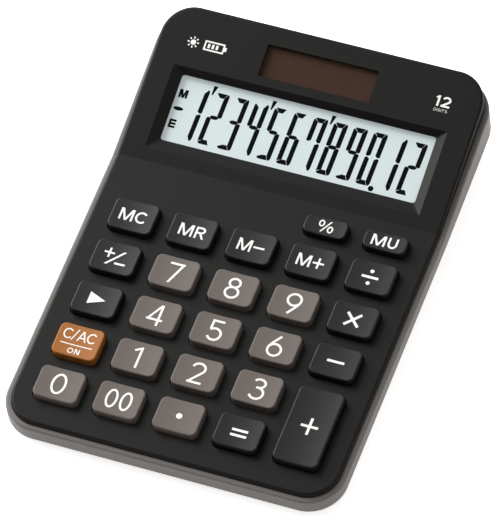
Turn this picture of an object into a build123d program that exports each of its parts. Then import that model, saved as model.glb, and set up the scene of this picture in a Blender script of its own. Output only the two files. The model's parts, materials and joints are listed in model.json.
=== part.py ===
from build123d import *
import os
from math import cos, radians, sin, tan

# A 12-digit solar and battery desk calculator.
# Row frame: origin on the desk under the middle of the case, +X right, +Y towards the display, +Z up.
# All sizes are in millimetres. Anything on the keyboard is placed by the KEYBOARD plane and anything
# in the display by the DISPLAY plane; a negative level there is a depth below the panel surface.

# ---- driving dimensions: case ----
CASE_WIDTH = 106.5
CASE_LENGTH = 147.0
CASE_CORNER_R = 11.5
RIM_THICKNESS = 1.6         # the rear case wall, seen from above as the ledge round the panel
CASE_GAP = 0.1              # gap between the two cases all round
PANEL_BACK_REACH = 0.8      # the panel runs this much further into the rear wall than into the sides
KEYBOARD_TILT = 3.5         # degrees up from the desk
DISPLAY_TILT = 16.15
BEND_Y = 23.0               # where the keyboard and display planes meet
BEND_R = 16.0
FRONT_EDGE_HEIGHT = 8.7     # desk to the front edge of the panel
SEAM_DROP = 1.3             # panel surface to the seam, along the keyboard
SEAM_BACK_TILT = 12.3       # the seam climbs less steeply than the display panel
RIM_DROP = 7.0              # panel surface to the rim's lower edge, along the keyboard
RIM_BACK_TILT = 6.3
NEST_DEPTH = 2.0            # how far the front case stands down inside the rim
SHELF_RISE = 0.5            # the lower cavity stops this far above the foot of the nest
PANEL_T = 1.8
PANEL_EDGE_R = 0.9
RIM_TOP_R = 0.8
RIM_LOW_R = 1.2
BASE_LEVEL = 1.0            # underside of the rear case above the desk
BASE_INSET = 4.0            # the underside is this much smaller all round than the rim
BASE_DRAFT = 13.0
BASE_EDGE_R = 1.6
BODY_RISE = 22.0            # the tapered body is drawn this high before it is cut to the rim
FLOOR_T = 1.6
WALL_T = 1.9

# ---- driving dimensions: keys ----
PITCH_X = 18.88
PITCH_Y = 15.225
TOP_ROW_Y = 2.4             # middle of the memory-key row, measured along the keyboard
CAP_W, CAP_H = 13.9, 10.7   # cap outline at the top
SHORT_CAP_W, SHORT_CAP_H = 13.3, 6.2
SHORT_ROW_Y = 15.05
CAP_CORNER_R = 2.1
CAP_RISE = 2.4              # cap top above the panel
CAP_DRAFT = 2.5
CAP_EDGE_R = 0.4
DISH_R = 70.0               # hollow of the cap top, across the key
DISH_DEPTH = 0.3
CAP_WALL = 1.2
CAP_GAP = 0.5               # key opening beyond the cap outline
OPENING_CORNER_R = 2.5
FLANGE_OUT = 0.85           # retaining flange beyond the cap
FLANGE_TOP = -1.95
FLANGE_T = 0.7
STEM_R = 2.0
HOLLOW_CORNER_R = 0.9

# ---- driving dimensions: board stack under the keys ----
MAT_TOP = -3.9
MAT_T = 0.6
DOME_R, DOME_TIP_R = 3.2, 2.1
MAT_HOLE_R = 2.4            # holes in the mat that pass the board bosses
BOARD_BOSS_R = 1.9
BOARD_TOP = -4.55
BOARD_T = 1.0
BOARD_HALF_W = 42.5
BOARD_FRONT_Y, BOARD_BACK_Y = -64.4, 18.9

# ---- driving dimensions: display ----
LCD_Y = 19.0                # middle of the visible glass, up the slope from the bend
LCD_W, LCD_H = 81.6, 21.7
LCD_CORNER_R = 1.0
BEZEL_W, BEZEL_H, BEZEL_Y = 87.8, 27.5, 18.0
BEZEL_CORNER_R = 0.5
BEZEL_DEPTH = 1.8
BEZEL_PROUD = 0.02          # the slopes start just above the panel so that the cut is clean
LENS_TOP = -2.2
LENS_T = 1.0
LENS_OVERLAP = 1.6          # lens hidden behind the bezel on every side
LENS_LAND_W, LENS_LAND_H = 90.8, 30.7
CELL_TOP = -3.25
CELL_T = 1.8
CELL_OVERLAP = 2.0
CONTACT_EDGE = 1.6          # width of the bare glass edge that carries the contacts
HOLDER_BACK = -6.3
HOLDER_W, HOLDER_H = 88.6, 28.1
HOLDER_POCKET_W, HOLDER_POCKET_H = 86.0, 26.3
HOLDER_TAB_T, HOLDER_TAB_R = 1.2, 2.6
RIBBON_SLOT_W, RIBBON_SLOT_H = 46.0, 3.6
PANEL_ROOT = -1.2           # lands and bosses start inside the panel, so that they fuse with it
OPENING_CUT = -4.0          # depth of every cut that opens the panel
SOLAR_W, SOLAR_H, SOLAR_Y = 35.7, 10.5, 39.8
SOLAR_CORNER_R = 0.5
SOLAR_FRAME_W, SOLAR_FRAME_H = 40.7, 13.9
SOLAR_REBATE_W, SOLAR_REBATE_H = 38.1, 12.5
SOLAR_RECESS = 0.4
SOLAR_PANE_T = 1.2
SOLAR_AIR = 0.06            # air between the pane and the cell
SOLAR_CELL_T = 1.1
SOLAR_FRAME_DEPTH = 3.0     # panel surface to the lower edge of the locating frame

# ---- driving dimensions: fasteners and small parts ----
SCREW_HEAD_R, SCREW_HEAD_T = 2.2, 1.4
SCREW_SHANK_R, SCREW_LENGTH = 1.1, 4.4
SCREW_SEAT = 2.4            # depth of the head seat below the meeting level of the bosses
SCREW_SLOT_W, SCREW_SLOT_L, SCREW_SLOT_DEPTH = 0.55, 2.5, 0.8
BOSS_R = 2.1
BOSS_ROOM = 0.15
TOWER_R = 3.5
TOWER_LEVEL = 6.0           # bosses that meet above this level stand on a wide tower
PILOT_FIT = 0.05            # pilot bore beyond the shank
PILOT_DEPTH, SMALL_PILOT_DEPTH = 2.1, 2.7
SMALL_HEAD_R, SMALL_HEAD_T = 1.6, 0.9
SMALL_SHANK_R, SMALL_LENGTH = 0.75, 3.2
SMALL_SLOT_W, SMALL_SLOT_L, SMALL_SLOT_DEPTH = 0.4, 1.7, 0.5
BATTERY_R, BATTERY_T = 5.8, 5.4
BATTERY_STEP_R, BATTERY_STEP_T = 4.9, 0.6
BATTERY_LIFT = 0.35         # cell above the floor, on its lower contact
BATTERY_RING_T, BATTERY_RING_RISE = 1.2, 4.5
BATTERY_RING_FIT = 0.3
CONTACT_W, CONTACT_T, CONTACT_FIT = 3.6, 0.3, 0.02
CONTACT_TAB_X = 9.0         # upright tab of each contact, beside the cell
FOOT_R, FOOT_RECESS = 4.5, 0.5
PLATE_W, PLATE_H, PLATE_Y, PLATE_RECESS = 52.0, 26.0, -6.0, 0.25
WIRE_R, WIRE_FIT = 0.45, 0.1
WIRE_PITCH = 3.0
CAPACITOR_R, CAPACITOR_LENGTH = 2.0, 7.0
BLOB_R, BLOB_T, BLOB_EDGE_R = 4.6, 1.4, 1.2
RIBBON_HALF_W, RIBBON_T, RIBBON_R = 21.0, 0.16, 1.2

# ---- derived sizes ----
PANEL_HALF_X = CASE_WIDTH / 2 - RIM_THICKNESS - CASE_GAP
PANEL_HALF_Y = CASE_LENGTH / 2 - RIM_THICKNESS - CASE_GAP
PANEL_CORNER_R = CASE_CORNER_R - RIM_THICKNESS - CASE_GAP
REACH = CASE_LENGTH         # construction blocks run well past the case
FAR_DOWN, FAR_UP = -60.0, 90.0
FLOOR_LEVEL = BASE_LEVEL + FLOOR_T


def bent_height(y, drop, back_tilt):
    """Height of a line that follows the keyboard, then climbs at its own tilt behind the bend."""
    front = FRONT_EDGE_HEIGHT - drop + (min(y, BEND_Y) + PANEL_HALF_Y) * tan(radians(KEYBOARD_TILT))
    return front + max(0.0, y - BEND_Y) * tan(radians(back_tilt))


def panel_height(y, drop=0.0):
    return bent_height(y, drop, DISPLAY_TILT)


KEYBOARD = Plane(
    origin=(0, 0, panel_height(0)),
    x_dir=(1, 0, 0),
    z_dir=(0, -sin(radians(KEYBOARD_TILT)), cos(radians(KEYBOARD_TILT))),
)
DISPLAY = Plane(
    origin=(0, BEND_Y, panel_height(BEND_Y)),
    x_dir=(1, 0, 0),
    z_dir=(0, -sin(radians(DISPLAY_TILT)), cos(radians(DISPLAY_TILT))),
)


def bent_block(drop, back_tilt, far_z):
    """A block as wide as needed, between a bent line and the level far_z."""
    ends = [(y, bent_height(y, drop, back_tilt)) for y in (-REACH, BEND_Y, REACH)]
    with BuildPart() as block:
        with BuildSketch(Plane.YZ.offset(-CASE_WIDTH)) as side:
            with BuildLine():
                Polyline(*ends, (REACH, far_z), (-REACH, far_z), close=True)
            make_face()
            bend = side.vertices().sort_by_distance(Vector(-CASE_WIDTH, *ends[1]))[0]
            fillet(bend, radius=BEND_R)
        extrude(amount=2 * CASE_WIDTH)
    return block.part


def outline_tub(half_x, half_y, corner_r, back_reach, *limits):
    """The case outline drawn out upwards and kept only inside every limit block."""
    with BuildPart() as tub:
        with BuildSketch():
            with Locations((0, back_reach / 2)):
                RectangleRounded(2 * half_x, 2 * half_y + back_reach, corner_r)
        extrude(amount=FAR_UP)
        for limit in limits:
            add(limit, mode=Mode.INTERSECT)
    return tub.part


def drafted_body(inset, level, limit):
    """The tapered lower body of the rear case, from its flat underside up to the limit block."""
    with BuildPart() as body:
        with BuildSketch(Plane.XY.offset(level)):
            RectangleRounded(
                CASE_WIDTH - 2 * inset, CASE_LENGTH - 2 * inset, CASE_CORNER_R - inset / 2
            )
        extrude(amount=BODY_RISE, taper=-BASE_DRAFT)
        add(limit, mode=Mode.INTERSECT)
    return body.part


def boundary_edges(faces):
    """The edges that only one face of the group has, which is the group's outline."""
    edges = [edge for face in faces for edge in face.edges()]
    return ShapeList(
        edge for edge in edges if sum(edge.is_same(other) for other in edges) == 1
    )


def save(piece, name):
    piece.part.label = name
    export_step(piece.part, f"parts/{name}.step")


os.makedirs("parts", exist_ok=True)

# ---- places ----
CASE_SCREWS = [  # x, y, level where the two bosses meet
    (28.3, -67.2, 5.0),
    (45.2, 23.2, 8.0),
    (42.8, 61.0, 16.0),
]
CASE_SCREWS += [(-x, y, z) for x, y, z in CASE_SCREWS]
BOARD_SCREWS = [
    (side * column * PITCH_X, TOP_ROW_Y - row * PITCH_Y)
    for side in (-1, 1)
    for column, row in ((1.5, 0.5), (1.5, 2.5), (0.5, 3.5))
]
HOLDER_SCREWS = [(x, y) for x in (-33.0, 33.0) for y in (1.9, 35.6)]
FEET = [(x, y) for x in (-39.0, 39.0) for y in (-57.0, 48.0)]
BATTERY_AT = (24.0, 46.0)


def key_place(column, row):
    return (column - 2) * PITCH_X, TOP_ROW_Y - row * PITCH_Y


# name, column, row, cap width, cap depth
KEYS = [
    (f"key_{name}", *key_place(column, row), CAP_W, CAP_H)
    for row, names in enumerate(
        (
            ("memory_clear", "memory_recall", "memory_minus", "memory_plus", "divide"),
            ("sign", "7", "8", "9", "multiply"),
            ("backspace", "4", "5", "6", "minus"),
            ("clear_on", "1", "2", "3"),
            ("0", "00", "point", "equals"),
        )
    )
    for column, name in enumerate(names)
]
KEYS += [
    ("key_percent", key_place(3, 0)[0], SHORT_ROW_Y, SHORT_CAP_W, SHORT_CAP_H),
    ("key_mark_up", key_place(4, 0)[0], SHORT_ROW_Y, SHORT_CAP_W, SHORT_CAP_H),
    ("key_plus", *key_place(4, 3.5), CAP_W, CAP_H + PITCH_Y),
]

# ---- construction blocks ----
below_panel = bent_block(0, DISPLAY_TILT, FAR_DOWN)
below_panel_inside = bent_block(PANEL_T, DISPLAY_TILT, FAR_DOWN)
below_seam = bent_block(SEAM_DROP, SEAM_BACK_TILT, FAR_DOWN)
above_nest = bent_block(SEAM_DROP + NEST_DEPTH, SEAM_BACK_TILT, FAR_UP)
above_rim_edge = bent_block(RIM_DROP, RIM_BACK_TILT, FAR_UP)
below_rim_middle = bent_block((SEAM_DROP + RIM_DROP) / 2, RIM_BACK_TILT, FAR_DOWN)
below_shelf = bent_block(SEAM_DROP + NEST_DEPTH - SHELF_RISE, SEAM_BACK_TILT, FAR_DOWN)
panel_cavity = outline_tub(
    PANEL_HALF_X - PANEL_T,
    PANEL_HALF_Y - PANEL_T,
    PANEL_CORNER_R - PANEL_T,
    PANEL_BACK_REACH,
    below_panel_inside,
)
rim_nest = outline_tub(
    PANEL_HALF_X + CASE_GAP,
    PANEL_HALF_Y + CASE_GAP,
    PANEL_CORNER_R + CASE_GAP,
    PANEL_BACK_REACH,
    above_nest,
)
lower_body = drafted_body(BASE_INSET, BASE_LEVEL, below_rim_middle)
floor_inset = BASE_INSET + WALL_T - FLOOR_T * tan(radians(BASE_DRAFT))
lower_cavity = drafted_body(floor_inset, FLOOR_LEVEL, below_shelf)

# ---- front case: black moulded shell with the keyboard panel and the display bezel ----
with BuildPart() as front_case:
    add(
        outline_tub(
            PANEL_HALF_X, PANEL_HALF_Y, PANEL_CORNER_R, PANEL_BACK_REACH, below_panel, above_nest
        )
    )
    panel_faces = front_case.faces().filter_by(lambda face: face.normal_at(face.center()).Z > 0.5)
    fillet(boundary_edges(panel_faces), radius=PANEL_EDGE_R)
    add(panel_cavity, mode=Mode.SUBTRACT)
    # land under the bezel, which holds the clear lens
    with BuildSketch(DISPLAY.offset(PANEL_ROOT)):
        with Locations((0, BEZEL_Y + 0.2)):
            Rectangle(LENS_LAND_W, LENS_LAND_H)
    extrude(amount=LENS_TOP - PANEL_ROOT)
    # low frame that locates the solar pane and cell
    with BuildSketch(DISPLAY.offset(PANEL_ROOT)):
        with Locations((0, SOLAR_Y)):
            Rectangle(SOLAR_FRAME_W, SOLAR_FRAME_H)
    extrude(amount=-SOLAR_FRAME_DEPTH - PANEL_ROOT)
    # bosses that meet the rear case, the board and the display holder
    for x, y, level in CASE_SCREWS:
        with BuildSketch(Plane.XY.offset(level)):
            with Locations((x, y)):
                Circle(BOSS_R)
        extrude(amount=panel_height(y, PANEL_T / 2) - level)
    with BuildSketch(KEYBOARD.offset(BOARD_TOP)):
        with Locations(*BOARD_SCREWS):
            Circle(BOARD_BOSS_R)
    extrude(amount=PANEL_ROOT - BOARD_TOP)
    with BuildSketch(DISPLAY.offset(HOLDER_BACK + HOLDER_TAB_T)):
        with Locations(*HOLDER_SCREWS):
            Circle(BOARD_BOSS_R)
    extrude(amount=PANEL_ROOT - HOLDER_BACK - HOLDER_TAB_T)
    # bezel: four slopes run down to the display opening
    with BuildSketch(DISPLAY.offset(BEZEL_PROUD)):
        with Locations((0, BEZEL_Y)):
            RectangleRounded(BEZEL_W, BEZEL_H, BEZEL_CORNER_R)
    with BuildSketch(DISPLAY.offset(-BEZEL_DEPTH)):
        with Locations((0, LCD_Y)):
            RectangleRounded(LCD_W, LCD_H, LCD_CORNER_R)
    loft(mode=Mode.SUBTRACT)
    with BuildSketch(DISPLAY.offset(-BEZEL_DEPTH)):
        with Locations((0, LCD_Y)):
            RectangleRounded(LCD_W, LCD_H, LCD_CORNER_R)
    extrude(amount=OPENING_CUT, mode=Mode.SUBTRACT)
    # solar window and the rebate behind it
    with BuildSketch(DISPLAY):
        with Locations((0, SOLAR_Y)):
            RectangleRounded(SOLAR_W, SOLAR_H, SOLAR_CORNER_R)
    extrude(amount=OPENING_CUT, mode=Mode.SUBTRACT)
    with BuildSketch(DISPLAY.offset(-SOLAR_RECESS)):
        with Locations((0, SOLAR_Y)):
            Rectangle(SOLAR_REBATE_W, SOLAR_REBATE_H)
    extrude(amount=OPENING_CUT, mode=Mode.SUBTRACT)
    # key openings
    for name, x, y, cap_w, cap_h in KEYS:
        with BuildSketch(KEYBOARD.offset(1)):
            with Locations((x, y)):
                RectangleRounded(cap_w + 2 * CAP_GAP, cap_h + 2 * CAP_GAP, OPENING_CORNER_R)
        extrude(amount=OPENING_CUT, mode=Mode.SUBTRACT)
    # pilot bores for the screws
    for x, y, level in CASE_SCREWS:
        with BuildSketch(Plane.XY.offset(level)):
            with Locations((x, y)):
                Circle(SCREW_SHANK_R + PILOT_FIT)
        extrude(amount=PILOT_DEPTH, mode=Mode.SUBTRACT)
    with BuildSketch(KEYBOARD.offset(BOARD_TOP)):
        with Locations(*BOARD_SCREWS):
            Circle(SMALL_SHANK_R + PILOT_FIT)
    extrude(amount=SMALL_PILOT_DEPTH, mode=Mode.SUBTRACT)
    with BuildSketch(DISPLAY.offset(HOLDER_BACK + HOLDER_TAB_T)):
        with Locations(*HOLDER_SCREWS):
            Circle(SMALL_SHANK_R + PILOT_FIT)
    extrude(amount=SMALL_PILOT_DEPTH, mode=Mode.SUBTRACT)
save(front_case, "front_case")

# ---- rear case: taupe tray whose wall shows as the rim, with a tapered lower body ----
with BuildPart() as rear_case:
    add(outline_tub(CASE_WIDTH / 2, CASE_LENGTH / 2, CASE_CORNER_R, 0, below_seam, above_rim_edge))
    rim_tops = rear_case.faces().filter_by(lambda face: face.normal_at(face.center()).Z > 0.5)
    fillet(boundary_edges(rim_tops), radius=RIM_TOP_R)
    rim_lows = rear_case.faces().filter_by(lambda face: face.normal_at(face.center()).Z < -0.5)
    fillet(boundary_edges(rim_lows), radius=RIM_LOW_R)
    add(lower_body)
    fillet(boundary_edges(rear_case.faces().sort_by(Axis.Z)[:1]), radius=BASE_EDGE_R)
    add(rim_nest, mode=Mode.SUBTRACT)
    add(lower_cavity, mode=Mode.SUBTRACT)
    # screw towers
    for x, y, level in CASE_SCREWS:
        with BuildSketch(Plane.XY.offset(FLOOR_LEVEL - 0.5)):
            with Locations((x, y)):
                Circle(TOWER_R if level > TOWER_LEVEL else BOSS_R)
        extrude(amount=level - FLOOR_LEVEL + 0.5)
    # ring that holds the button cell
    with BuildSketch(Plane.XY.offset(FLOOR_LEVEL - 0.5)):
        with Locations(BATTERY_AT):
            Circle(BATTERY_R + BATTERY_RING_FIT + BATTERY_RING_T)
            Circle(BATTERY_R + BATTERY_RING_FIT, mode=Mode.SUBTRACT)
            with Locations((BATTERY_R, 0), (-BATTERY_R, 0)):
                Rectangle(6, 5, mode=Mode.SUBTRACT)
    extrude(amount=BATTERY_RING_RISE)
    # screw bores with deep counterbores from below
    for x, y, level in CASE_SCREWS:
        with BuildSketch():
            with Locations((x, y)):
                Circle(SCREW_HEAD_R + BOSS_ROOM)
        extrude(amount=level - SCREW_SEAT, mode=Mode.SUBTRACT)
        with BuildSketch():
            with Locations((x, y)):
                Circle(SCREW_SHANK_R + BOSS_ROOM)
        extrude(amount=level + 1, mode=Mode.SUBTRACT)
        # room for the front case boss beside the wall
        with BuildSketch(Plane.XY.offset(level)):
            with Locations((x, y)):
                Circle(BOSS_R + BOSS_ROOM)
        extrude(amount=3, mode=Mode.SUBTRACT)
    # foot recesses and the shallow blank panel of the rating plate
    with BuildSketch():
        with Locations(*FEET):
            Circle(FOOT_R + 0.1)
    extrude(amount=BASE_LEVEL + FOOT_RECESS, mode=Mode.SUBTRACT)
    with BuildSketch():
        with Locations((0, PLATE_Y)):
            RectangleRounded(PLATE_W, PLATE_H, 2)
    extrude(amount=BASE_LEVEL + PLATE_RECESS, mode=Mode.SUBTRACT)
save(rear_case, "rear_case")

# ---- display stack ----
with BuildPart() as display_lens:
    with BuildSketch(DISPLAY.offset(LENS_TOP)):
        with Locations((0, LCD_Y)):
            RectangleRounded(LCD_W + 2 * LENS_OVERLAP, LCD_H + 2 * LENS_OVERLAP, LCD_CORNER_R)
    extrude(amount=-LENS_T)
save(display_lens, "display_lens")

with BuildPart() as lcd_cell:
    with BuildSketch(DISPLAY.offset(CELL_TOP)):
        with Locations((0, LCD_Y - 0.4)):
            Rectangle(LCD_W + 2 * CELL_OVERLAP, LCD_H + 2 * CELL_OVERLAP)
    extrude(amount=-CELL_T)
    # the rear glass stands out along the lower edge and carries the contacts
    with BuildSketch(DISPLAY.offset(CELL_TOP)):
        with Locations((0, LCD_Y - LCD_H / 2 - 1.7)):
            Rectangle(LCD_W + 2 * CELL_OVERLAP, CONTACT_EDGE)
    extrude(amount=-CELL_T / 2, mode=Mode.SUBTRACT)
save(lcd_cell, "lcd_cell")

with BuildPart() as lcd_holder:
    with BuildSketch(DISPLAY.offset(LENS_TOP - 0.05)):
        with Locations((0, LCD_Y - 0.3)):
            Rectangle(HOLDER_W, HOLDER_H)
    extrude(amount=HOLDER_BACK - LENS_TOP + 0.05)
    with BuildSketch(DISPLAY.offset(HOLDER_BACK + HOLDER_TAB_T)):
        with Locations(*HOLDER_SCREWS):
            Circle(HOLDER_TAB_R)
        for x, y in HOLDER_SCREWS:
            with Locations((x, (y + LCD_Y) / 2)):
                Rectangle(2 * HOLDER_TAB_R, abs(y - LCD_Y))
    extrude(amount=-HOLDER_TAB_T)
    with BuildSketch(DISPLAY):
        with Locations((0, LCD_Y - 0.3)):
            Rectangle(HOLDER_POCKET_W, HOLDER_POCKET_H)
    extrude(amount=CELL_TOP - CELL_T - 0.05, mode=Mode.SUBTRACT)
    # slot for the ribbon below the contact edge
    with BuildSketch(DISPLAY.offset(CELL_TOP - 0.5)):
        with Locations((0, LCD_Y - LCD_H / 2 - 3.4)):
            Rectangle(RIBBON_SLOT_W, RIBBON_SLOT_H)
    extrude(amount=OPENING_CUT, mode=Mode.SUBTRACT)
    with BuildSketch(DISPLAY):
        with Locations(*HOLDER_SCREWS):
            Circle(SMALL_SHANK_R + 0.1)
    extrude(amount=-8, mode=Mode.SUBTRACT)
save(lcd_holder, "lcd_holder")


def small_screw_group(plane, seat, places):
    """Pan-head screws driven up from below: the head is under the seat level."""
    with BuildPart() as group:
        with BuildSketch(plane.offset(seat)):
            with Locations(*places):
                Circle(SMALL_HEAD_R)
        extrude(amount=-SMALL_HEAD_T)
        head_ends = group.faces().filter_by(GeomType.PLANE).filter_by(
            lambda face: face.normal_at(face.center()).Z < -0.5
        )
        fillet(head_ends.edges(), radius=0.35)
        with BuildSketch(plane.offset(seat)):
            with Locations(*places):
                Circle(SMALL_SHANK_R)
        extrude(amount=SMALL_LENGTH)
        # cross recess
        with BuildSketch(plane.offset(seat - SMALL_HEAD_T)):
            with Locations(*places):
                Rectangle(SMALL_SLOT_L, SMALL_SLOT_W)
                Rectangle(SMALL_SLOT_W, SMALL_SLOT_L)
        extrude(amount=SMALL_SLOT_DEPTH, mode=Mode.SUBTRACT)
    return group


holder_screws = small_screw_group(DISPLAY, HOLDER_BACK, HOLDER_SCREWS)
save(holder_screws, "holder_screws")
board_screws = small_screw_group(KEYBOARD, BOARD_TOP - BOARD_T, BOARD_SCREWS)
save(board_screws, "board_screws")

with BuildPart() as case_screws:
    for x, y, level in CASE_SCREWS:
        with BuildSketch(Plane.XY.offset(level - SCREW_SEAT - SCREW_HEAD_T)):
            with Locations((x, y)):
                Circle(SCREW_HEAD_R)
        extrude(amount=SCREW_HEAD_T)
    head_ends = case_screws.faces().filter_by(lambda face: face.normal_at(face.center()).Z < -0.5)
    fillet(head_ends.edges(), radius=0.4)
    for x, y, level in CASE_SCREWS:
        with BuildSketch(Plane.XY.offset(level - SCREW_SEAT)):
            with Locations((x, y)):
                Circle(SCREW_SHANK_R)
        extrude(amount=SCREW_LENGTH)
        with BuildSketch(Plane.XY.offset(level - SCREW_SEAT - SCREW_HEAD_T)):
            with Locations((x, y)):
                Rectangle(SCREW_SLOT_L, SCREW_SLOT_W)
                Rectangle(SCREW_SLOT_W, SCREW_SLOT_L)
        extrude(amount=SCREW_SLOT_DEPTH, mode=Mode.SUBTRACT)
save(case_screws, "case_screws")

# ---- solar supply ----
with BuildPart() as solar_window:
    with BuildSketch(DISPLAY.offset(-SOLAR_RECESS)):
        with Locations((0, SOLAR_Y)):
            Rectangle(SOLAR_W + 2.2, SOLAR_H + 1.8)
    extrude(amount=SOLAR_AIR - SOLAR_PANE_T)
save(solar_window, "solar_window")

with BuildPart() as solar_cell:
    with BuildSketch(DISPLAY.offset(-SOLAR_RECESS - SOLAR_PANE_T)):
        with Locations((0, SOLAR_Y)):
            Rectangle(SOLAR_W + 1.8, SOLAR_H + 1.4)
    extrude(amount=-SOLAR_CELL_T)
save(solar_cell, "solar_cell")

# ---- keys: hollow caps with a retaining flange and a stem that bears on the rubber dome ----
def make_key(x, y, cap_w, cap_h):
    draft = tan(radians(CAP_DRAFT))
    grow = 2 * (CAP_RISE - FLANGE_TOP) * draft
    flange_low = FLANGE_TOP - FLANGE_T
    with BuildPart() as key:
        with BuildSketch(KEYBOARD.offset(FLANGE_TOP)):
            with Locations((x, y)):
                RectangleRounded(cap_w + grow, cap_h + grow, CAP_CORNER_R)
        extrude(amount=CAP_RISE - FLANGE_TOP, taper=CAP_DRAFT)
        # hollow top: a shallow trough that runs front to back
        trough = Plane(KEYBOARD.from_local_coords((x, y, 0)), x_dir=(1, 0, 0), z_dir=-KEYBOARD.y_dir)
        with BuildSketch(trough):
            with Locations((0, CAP_RISE - DISH_DEPTH + DISH_R)):
                Circle(DISH_R)
        extrude(amount=30, both=True, mode=Mode.SUBTRACT)
        top = key.faces().sort_by(Axis(KEYBOARD.origin, KEYBOARD.z_dir))[-1]
        fillet(top.edges(), radius=CAP_EDGE_R)
        with BuildSketch(KEYBOARD.offset(flange_low)):
            with Locations((x, y)):
                RectangleRounded(
                    cap_w + grow + 2 * FLANGE_OUT,
                    cap_h + grow + 2 * FLANGE_OUT,
                    CAP_CORNER_R + FLANGE_OUT,
                )
        extrude(amount=FLANGE_T)
        with BuildSketch(KEYBOARD.offset(flange_low)):
            with Locations((x, y)):
                RectangleRounded(cap_w - 2 * CAP_WALL, cap_h - 2 * CAP_WALL, HOLLOW_CORNER_R)
                Circle(STEM_R, mode=Mode.SUBTRACT)
        extrude(amount=CAP_RISE - DISH_DEPTH - CAP_WALL - flange_low, mode=Mode.SUBTRACT)
    return key


for name, x, y, cap_w, cap_h in KEYS:
    save(make_key(x, y, cap_w, cap_h), name)

# ---- rubber key mat: one moulding with a dome under every key ----
with BuildPart() as key_mat:
    with BuildSketch(KEYBOARD.offset(MAT_TOP - MAT_T)):
        with Locations((0, (BOARD_FRONT_Y + BOARD_BACK_Y) / 2)):
            Rectangle(2 * BOARD_HALF_W, BOARD_BACK_Y - BOARD_FRONT_Y)
        with Locations(*BOARD_SCREWS):
            Circle(MAT_HOLE_R, mode=Mode.SUBTRACT)
    extrude(amount=MAT_T)
    for name, x, y, cap_w, cap_h in KEYS:
        with BuildSketch(KEYBOARD.offset(MAT_TOP)):
            with Locations((x, y)):
                Circle(DOME_R)
        with BuildSketch(KEYBOARD.offset(FLANGE_TOP - FLANGE_T)):
            with Locations((x, y)):
                Circle(DOME_TIP_R)
        loft()
save(key_mat, "key_mat")

# ---- main board ----
with BuildPart() as main_board:
    with BuildSketch(KEYBOARD.offset(BOARD_TOP)):
        with Locations((0, (BOARD_FRONT_Y + BOARD_BACK_Y) / 2)):
            Rectangle(2 * BOARD_HALF_W, BOARD_BACK_Y - BOARD_FRONT_Y)
        with Locations(*BOARD_SCREWS):
            Circle(SMALL_SHANK_R + 0.15, mode=Mode.SUBTRACT)
    extrude(amount=-BOARD_T)
save(main_board, "main_board")

# ---- controller under its round black glob top, on the underside of the board ----
with BuildPart() as controller_blob:
    with BuildSketch(KEYBOARD.offset(BOARD_TOP - BOARD_T)):
        with Locations((0, 6)):
            Circle(BLOB_R)
    extrude(amount=-BLOB_T)
    blob_end = controller_blob.faces().sort_by(Axis.Z)[0]
    fillet(blob_end.edges(), radius=BLOB_EDGE_R)
save(controller_blob, "controller_blob")

# ---- buffer capacitor, lying under the board ----
with BuildPart() as buffer_capacitor:
    can_end = Plane(
        KEYBOARD.from_local_coords((-30, 9, BOARD_TOP - BOARD_T - CAPACITOR_R - PILOT_FIT)),
        KEYBOARD.y_dir,
        (1, 0, 0),
    )
    with BuildSketch(can_end):
        Circle(CAPACITOR_R)
    extrude(amount=CAPACITOR_LENGTH)
    fillet(buffer_capacitor.edges(), radius=0.3)
save(buffer_capacitor, "buffer_capacitor")

# ---- ribbon from the contact edge of the glass down to the underside of the board ----
ribbon_start = DISPLAY.from_local_coords((0, LCD_Y - LCD_H / 2 - 1.7, CELL_TOP - CELL_T - 0.12))
ribbon_low = DISPLAY.from_local_coords((0, LCD_Y - LCD_H / 2 - 2.9, HOLDER_BACK - 1.6))
ribbon_turn = KEYBOARD.from_local_coords((0, BOARD_BACK_Y + 2.5, BOARD_TOP - BOARD_T - 0.12))
ribbon_end = KEYBOARD.from_local_coords((0, BOARD_BACK_Y - 5.0, BOARD_TOP - BOARD_T - 0.12))
with BuildPart() as lcd_ribbon:
    with BuildSketch(Plane.YZ.offset(-RIBBON_HALF_W)):
        with BuildLine() as ribbon_line:
            FilletPolyline(
                *[(point.Y, point.Z) for point in (ribbon_start, ribbon_low, ribbon_turn, ribbon_end)],
                radius=RIBBON_R,
            )
        trace(line_width=RIBBON_T)
    extrude(amount=2 * RIBBON_HALF_W)
save(lcd_ribbon, "lcd_ribbon")


def wire(points, radius):
    """A straight-and-arc tube of wire through the points."""
    with BuildPart() as tube:
        with BuildLine() as route:
            FilletPolyline(*points, radius=radius)
        with BuildSketch(Plane(origin=route.line @ 0, z_dir=route.line % 0)):
            Circle(WIRE_R)
        sweep()
    return tube.part


# ---- button cell with its two contacts and leads ----
with BuildPart() as button_cell:
    with BuildSketch(Plane.XY.offset(FLOOR_LEVEL + BATTERY_LIFT)):
        with Locations(BATTERY_AT):
            Circle(BATTERY_STEP_R)
    extrude(amount=BATTERY_STEP_T)
    with BuildSketch(Plane.XY.offset(FLOOR_LEVEL + BATTERY_LIFT + BATTERY_STEP_T)):
        with Locations(BATTERY_AT):
            Circle(BATTERY_R)
    extrude(amount=BATTERY_T - BATTERY_STEP_T)
    fillet(button_cell.edges().group_by(Axis.Z)[-1], radius=0.4)
save(button_cell, "button_cell")

battery_x, battery_y = BATTERY_AT
battery_top = FLOOR_LEVEL + BATTERY_LIFT + BATTERY_T
with BuildPart() as battery_minus_contact:
    with BuildSketch(Plane.XY.offset(FLOOR_LEVEL + CONTACT_FIT)):
        with Locations((battery_x - 3.4, battery_y)):
            Rectangle(11.4, CONTACT_W)
    extrude(amount=CONTACT_T)
    with BuildSketch(Plane.XY.offset(FLOOR_LEVEL + CONTACT_FIT)):
        with Locations((battery_x - CONTACT_TAB_X, battery_y)):
            Rectangle(CONTACT_T, CONTACT_W)
    extrude(amount=4.0)
save(battery_minus_contact, "battery_minus_contact")

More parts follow.
